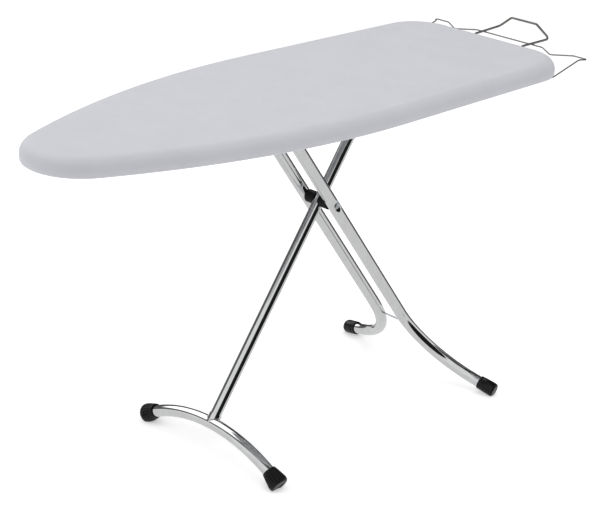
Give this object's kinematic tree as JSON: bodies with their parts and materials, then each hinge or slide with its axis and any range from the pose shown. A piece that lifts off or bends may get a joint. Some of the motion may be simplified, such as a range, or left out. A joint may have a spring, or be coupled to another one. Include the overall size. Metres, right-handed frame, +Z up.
{
  "type": "ironing board",
  "caption": "Folding ironing board with a padded fabric top, crossed tube legs that slide and fold flat, rubber feet, height lever and wire iron rest.",
  "frame": {"origin": "on the floor under the middle of the whole object's bounding box", "axes": "+X from the nose to the heel and iron rest, +Y across the board, +Z up"},
  "size_m": [1.3584, 0.458, 0.7545],
  "materials": {
    "cover_fabric": "matte",
    "foam": "matte",
    "elastic": "matte",
    "panel_steel": "satin",
    "zinc_steel": "satin",
    "leg_chrome": "polished",
    "rest_wire": "polished",
    "black_rubber": "matte",
    "black_plastic": "matte",
    "white_plastic": "satin"
  },
  "bodies": {
    "board": {"cover": "cover_fabric", "cross_bar_front": "panel_steel", "cross_bar_heel": "panel_steel", "cross_bar_hinge": "panel_steel", "cross_bar_middle": "panel_steel", "cross_bar_nose": "panel_steel", "guide_rail_left": "zinc_steel", "guide_rail_right": "zinc_steel", "hem_elastic": "elastic", "hinge_bolt": "zinc_steel", "hinge_bracket": "zinc_steel", "hinge_nut": "zinc_steel", "lever_saddles": "black_plastic", "lever_spring": "zinc_steel", "pad": "foam", "perimeter_tube": "panel_steel", "rail_end_stops": "black_plastic", "rail_rivets": "zinc_steel", "rest_clips": "black_plastic", "rest_loop": "rest_wire", "rest_outer_wire": "rest_wire", "rest_screws": "zinc_steel", "top_panel": "panel_steel"},
    "single_leg": {"single_leg_tube": "leg_chrome", "hinge_sleeve": "leg_chrome", "foot_bow": "leg_chrome", "bow_collar": "leg_chrome", "bow_cap_left": "black_rubber", "bow_cap_right": "black_rubber", "leg_saddles": "black_plastic"},
    "twin_leg": {"twin_tube_left": "leg_chrome", "twin_tube_right": "leg_chrome", "rear_cap_left": "black_rubber", "rear_cap_right": "black_rubber", "twin_top_plugs": "black_plastic", "glide_left": "white_plastic", "glide_right": "white_plastic", "axle_clips": "zinc_steel", "slide_axle": "zinc_steel", "spreader_wire": "leg_chrome", "pivot_pin": "zinc_steel", "pivot_washers": "zinc_steel", "twin_saddles": "black_plastic"},
    "height_lever": {"lever_rod": "zinc_steel", "lever_grip": "black_plastic", "catch_plate": "zinc_steel"}
  },
  "joints": [
    {"name": "leg_fold", "type": "hinge", "parent": "board", "child": "single_leg", "pos_m": [0.20092, 0, 0.7078], "axis": [0, 1, 0], "range_deg": [-16, 50]},
    {"name": "twin_fold", "type": "hinge", "parent": "single_leg", "child": "twin_leg", "pos_m": [0.03674, 0, 0.481], "axis": [0, 1, 0], "range_deg": [-100, 32]},
    {"name": "lever_pull", "type": "hinge", "parent": "board", "child": "height_lever", "pos_m": [-0.0793, -0.02, 0.717], "axis": [1, 0, 0], "range_deg": [0, 10], "stiffness_Nm_per_rad": 0.8, "springref_deg": -20.05}
  ],
  "couplings": [
    {"joint": "twin_fold", "follows": "leg_fold", "ratio": -2}
  ]
}
